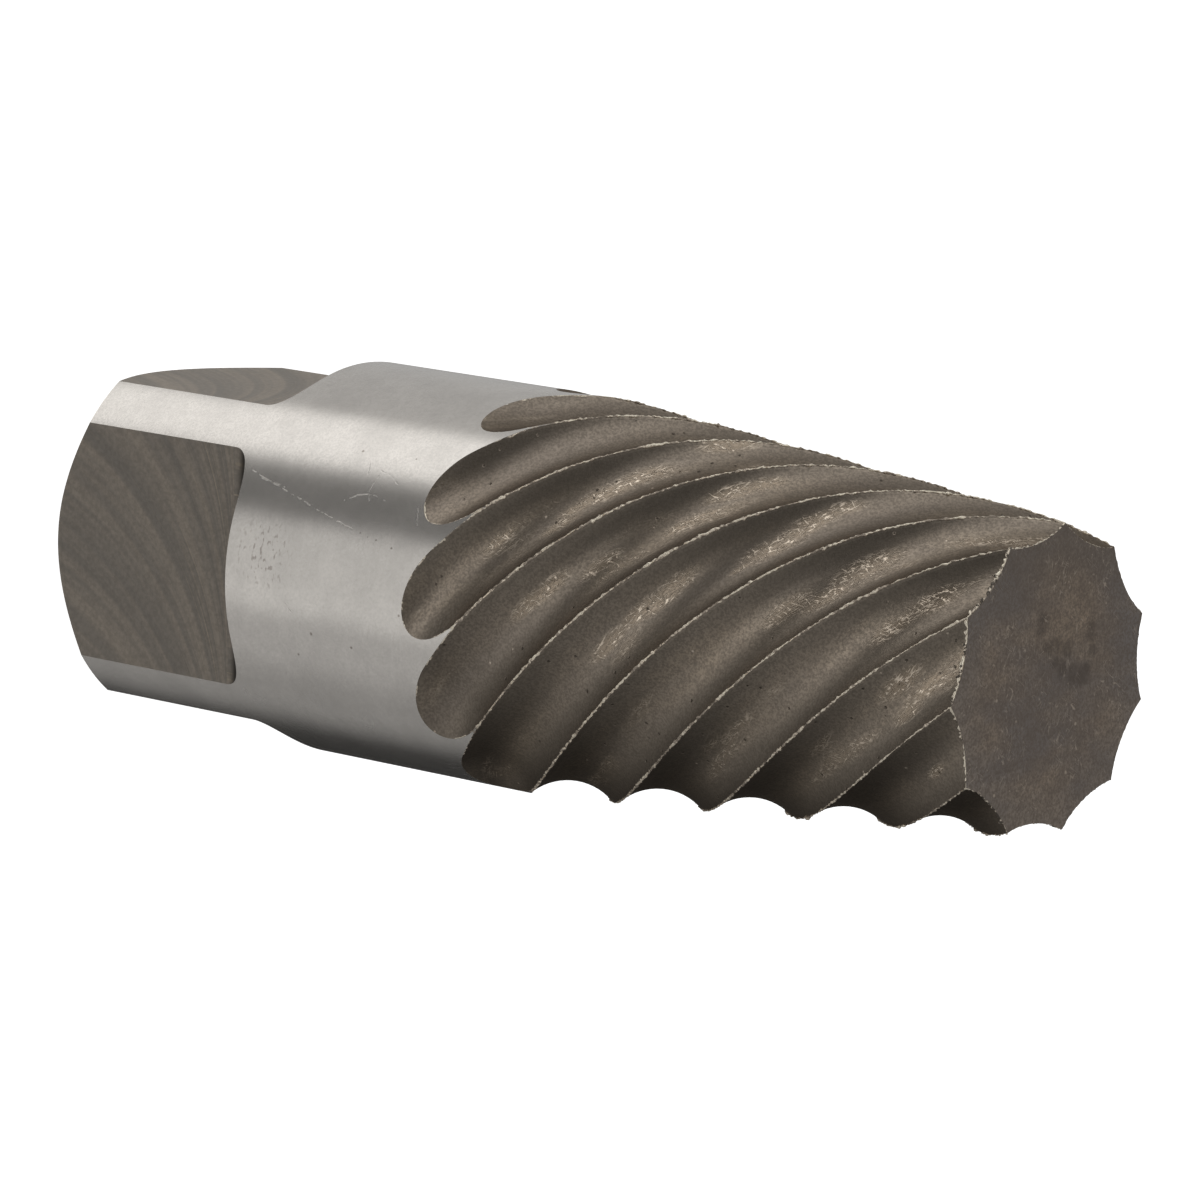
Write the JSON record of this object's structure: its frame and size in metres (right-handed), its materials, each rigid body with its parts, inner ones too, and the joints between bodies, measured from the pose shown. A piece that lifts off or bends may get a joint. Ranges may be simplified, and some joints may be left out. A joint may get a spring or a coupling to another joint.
{
  "type": "screw extractor",
  "caption": "Left-hand spiral screw extractor: tapered, fluted tip on a round shank with a square drive end, stood on the drive end.",
  "frame": {"origin": "centre of the square drive end's face, on the surface it stands on", "axes": "+Z along the tool's axis from the drive end to the fluted tip; +X and +Y are normal to flats of the square"},
  "size_m": [0.055, 0.055, 0.1595],
  "materials": {
    "tool_steel": "ground shank, milled square, dark heat-treated flutes with bright burred crests"
  },
  "bodies": {
    "root": {"extractor": "tool_steel"}
  },
  "joints": []
}
